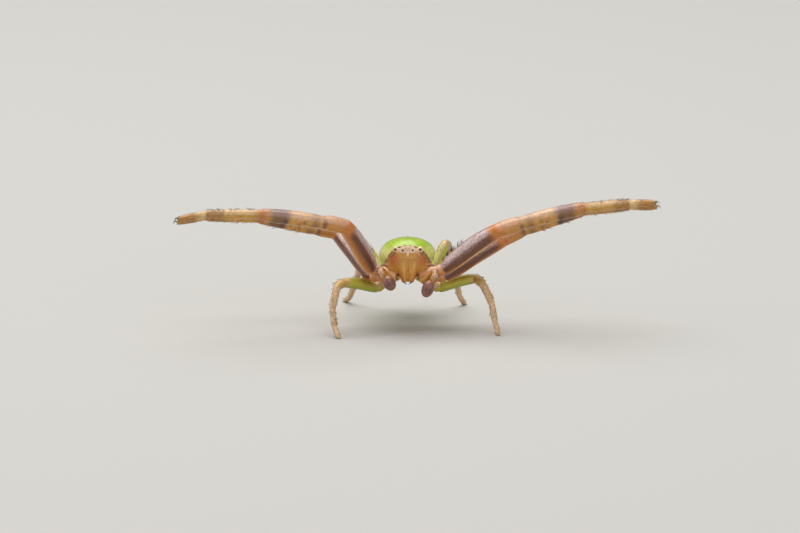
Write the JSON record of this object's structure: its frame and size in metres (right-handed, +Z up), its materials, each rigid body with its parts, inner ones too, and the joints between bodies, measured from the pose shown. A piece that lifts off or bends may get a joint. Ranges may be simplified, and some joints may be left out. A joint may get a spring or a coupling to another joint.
{
  "type": "crab spider",
  "caption": "Still, life-size model of a small male crab spider with green abdomen, its long banded front legs raised to the sides and its hind legs standing on flat foot tips.",
  "frame": {"origin": "middle of the footprint at floor level", "axes": "+Z up, +X towards the spider's own left, -Y the way it faces"},
  "size_m": [0.0146, 0.007, 0.0043],
  "materials": {
    "carapace": "smooth, softly glossy orange-brown cuticle",
    "abdomen": "taut, satin bright green skin",
    "eye": "wet gloss, near black",
    "jaw": "smooth, softly glossy golden orange cuticle",
    "fang": "glossy dark brown",
    "palp": "glossy purplish brown",
    "front_leg": "glossy orange-brown cuticle with dark rings",
    "hind_leg": "satin olive green cuticle, paler to the feet",
    "sternum": "satin pale yellow-brown cuticle"
  },
  "bodies": {
    "root": {"abdomen": "abdomen", "carapace": "carapace", "chelicera_left": "jaw", "chelicera_right": "jaw", "eye_front_middle_left": "eye", "eye_front_middle_right": "eye", "eye_front_side_left": "eye", "eye_front_side_right": "eye", "eye_rear_middle_left": "eye", "eye_rear_middle_right": "eye", "eye_rear_side_left": "eye", "eye_rear_side_right": "eye", "fang_left": "fang", "fang_right": "fang", "leg1_left_coxa": "front_leg", "leg1_left_femur": "front_leg", "leg1_left_metatarsus": "front_leg", "leg1_left_patella_tibia": "front_leg", "leg1_left_tarsus": "front_leg", "leg1_right_coxa": "front_leg", "leg1_right_femur": "front_leg", "leg1_right_metatarsus": "front_leg", "leg1_right_patella_tibia": "front_leg", "leg1_right_tarsus": "front_leg", "leg2_left_coxa": "front_leg", "leg2_left_femur": "front_leg", "leg2_left_metatarsus": "front_leg", "leg2_left_patella_tibia": "front_leg", "leg2_left_tarsus": "front_leg", "leg2_right_coxa": "front_leg", "leg2_right_femur": "front_leg", "leg2_right_metatarsus": "front_leg", "leg2_right_patella_tibia": "front_leg", "leg2_right_tarsus": "front_leg", "leg3_left_coxa": "hind_leg", "leg3_left_femur": "hind_leg", "leg3_left_metatarsus_tarsus": "hind_leg", "leg3_left_patella_tibia": "hind_leg", "leg3_right_coxa": "hind_leg", "leg3_right_femur": "hind_leg", "leg3_right_metatarsus_tarsus": "hind_leg", "leg3_right_patella_tibia": "hind_leg", "leg4_left_coxa": "hind_leg", "leg4_left_femur": "hind_leg", "leg4_left_metatarsus_tarsus": "hind_leg", "leg4_left_patella_tibia": "hind_leg", "leg4_right_coxa": "hind_leg", "leg4_right_femur": "hind_leg", "leg4_right_metatarsus_tarsus": "hind_leg", "leg4_right_patella_tibia": "hind_leg", "palp_left_arm": "palp", "palp_left_bulb": "palp", "palp_right_arm": "palp", "palp_right_bulb": "palp", "pedicel": "carapace", "spinnerets": "abdomen", "sternum": "sternum"}
  },
  "joints": []
}
